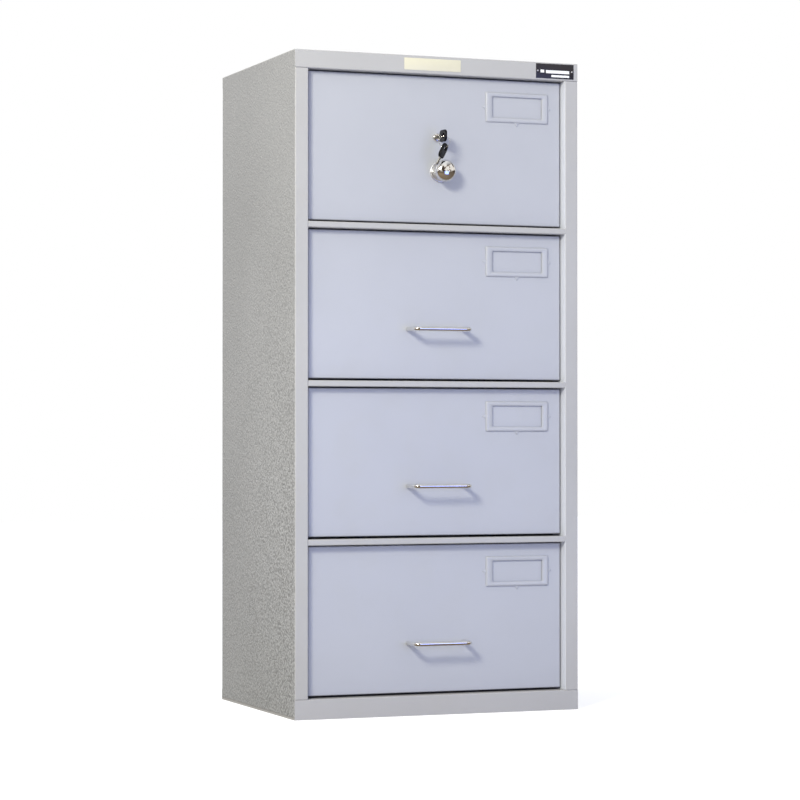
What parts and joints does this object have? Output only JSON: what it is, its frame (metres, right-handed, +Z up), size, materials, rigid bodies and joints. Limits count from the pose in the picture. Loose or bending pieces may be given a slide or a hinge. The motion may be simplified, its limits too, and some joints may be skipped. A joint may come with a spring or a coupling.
{
  "type": "filing cabinet",
  "caption": "Upright steel filing cabinet with full-width recessed drawers on telescopic slides, wire handles, a key lock and a domed knob on the top drawer.",
  "frame": {"origin": "on the floor, under the middle of the cabinet's body", "axes": "+X to the right of someone facing the drawers, +Y from the drawers to the back, +Z up"},
  "size_m": [0.612, 0.503, 1.32],
  "materials": {
    "front_paint": "smooth satin light grey paint",
    "side_paint": "textured grey paint",
    "inner_paint": "matt warm grey primer",
    "zinc_steel": "zinc plated",
    "chrome": "polished",
    "key_plastic": "black moulded bow",
    "ring_steel": "spring steel wire",
    "cream_label": "blank printed label",
    "black_plate": "black anodised with blank fields",
    "rivet_metal": "dull"
  },
  "bodies": {
    "cabinet": {"side_panel_left": "side_paint", "side_panel_right": "side_paint", "top_panel": "front_paint", "base_pan": "front_paint", "back_panel": "side_paint", "back_rivets": "side_paint", "rear_post_left": "inner_paint", "rear_post_right": "inner_paint", "divider_rail_1": "front_paint", "divider_rail_2": "front_paint", "divider_rail_3": "front_paint", "maker_plate": "cream_label", "rating_plate": "black_plate", "rating_plate_rivets": "rivet_metal", "bar_guides": "zinc_steel", "fixed_slides_1": "zinc_steel", "fixed_slides_2": "zinc_steel", "fixed_slides_3": "zinc_steel", "fixed_slides_4": "zinc_steel"},
    "drawer_1": {"face_1": "front_paint", "tray_1": "inner_paint", "file_rails_1": "inner_paint", "label_holder_1": "front_paint", "drawer_slides_1": "zinc_steel", "lock_cylinder": "chrome", "knob_rose": "chrome", "bolt_guides": "zinc_steel"},
    "slides_1": {"middle_slides_1": "zinc_steel"},
    "drawer_2": {"face_2": "front_paint", "tray_2": "inner_paint", "file_rails_2": "inner_paint", "label_holder_2": "front_paint", "drawer_slides_2": "zinc_steel", "handle_2": "chrome", "handle_screws_2": "zinc_steel"},
    "slides_2": {"middle_slides_2": "zinc_steel"},
    "drawer_3": {"face_3": "front_paint", "tray_3": "inner_paint", "file_rails_3": "inner_paint", "label_holder_3": "front_paint", "drawer_slides_3": "zinc_steel", "handle_3": "chrome", "handle_screws_3": "zinc_steel"},
    "slides_3": {"middle_slides_3": "zinc_steel"},
    "drawer_4": {"face_4": "front_paint", "tray_4": "inner_paint", "file_rails_4": "inner_paint", "label_holder_4": "front_paint", "drawer_slides_4": "zinc_steel", "handle_4": "chrome", "handle_screws_4": "zinc_steel"},
    "slides_4": {"middle_slides_4": "zinc_steel"},
    "key": {"lock_plug": "chrome", "key": "key_plastic"},
    "key_ring": {"key_ring": "ring_steel"},
    "spare_key": {"spare_key": "key_plastic"},
    "knob": {"knob": "chrome"},
    "bolt": {"lock_bolt": "zinc_steel"},
    "lock_bar": {"lock_bar": "zinc_steel"}
  },
  "joints": [
    {"name": "drawer_1_slide", "type": "slide", "parent": "cabinet", "child": "drawer_1", "axis": [0, -1, 0], "range_m": [0, 0.38]},
    {"name": "slides_1_slide", "type": "slide", "parent": "cabinet", "child": "slides_1", "axis": [0, -1, 0], "range_m": [0, 0.19]},
    {"name": "drawer_2_slide", "type": "slide", "parent": "cabinet", "child": "drawer_2", "axis": [0, -1, 0], "range_m": [0, 0.38]},
    {"name": "slides_2_slide", "type": "slide", "parent": "cabinet", "child": "slides_2", "axis": [0, -1, 0], "range_m": [0, 0.19]},
    {"name": "drawer_3_slide", "type": "slide", "parent": "cabinet", "child": "drawer_3", "axis": [0, -1, 0], "range_m": [0, 0.38]},
    {"name": "slides_3_slide", "type": "slide", "parent": "cabinet", "child": "slides_3", "axis": [0, -1, 0], "range_m": [0, 0.19]},
    {"name": "drawer_4_slide", "type": "slide", "parent": "cabinet", "child": "drawer_4", "axis": [0, -1, 0], "range_m": [0, 0.38]},
    {"name": "slides_4_slide", "type": "slide", "parent": "cabinet", "child": "slides_4", "axis": [0, -1, 0], "range_m": [0, 0.19]},
    {"name": "key_turn", "type": "hinge", "parent": "drawer_1", "child": "key", "pos_m": [0.002, -0.215, 1.159], "axis": [0, 1, 0], "range_deg": [0, 90]},
    {"name": "ring_swing", "type": "hinge", "parent": "key", "child": "key_ring", "pos_m": [0.002, -0.2585, 1.1575], "axis": [0.8387, -0.5446, 0], "range_deg": [-12, 0]},
    {"name": "spare_key_swing", "type": "hinge", "parent": "key_ring", "child": "spare_key", "pos_m": [0.002, -0.2585, 1.1355], "axis": [-0.6349, 0.7071, 0.3112], "range_deg": [0, 25]},
    {"name": "knob_turn", "type": "hinge", "parent": "drawer_1", "child": "knob", "pos_m": [0.0095, -0.215, 1.09], "axis": [0, -1, 0], "range_deg": [0, 60]},
    {"name": "bolt_slide", "type": "slide", "parent": "drawer_1", "child": "bolt", "axis": [0, 0, 1], "range_m": [0, 0.012]},
    {"name": "lock_bar_slide", "type": "slide", "parent": "cabinet", "child": "lock_bar", "axis": [0, 0, 1], "range_m": [0, 0.012]}
  ],
  "couplings": [
    {"joint": "slides_1_slide", "follows": "drawer_1_slide", "ratio": 0.5},
    {"joint": "slides_2_slide", "follows": "drawer_2_slide", "ratio": 0.5},
    {"joint": "slides_3_slide", "follows": "drawer_3_slide", "ratio": 0.5},
    {"joint": "slides_4_slide", "follows": "drawer_4_slide", "ratio": 0.5},
    {"joint": "bolt_slide", "follows": "lock_bar_slide", "ratio": 1},
    {"joint": "knob_turn", "follows": "lock_bar_slide", "rad_per_m": 87.2}
  ]
}
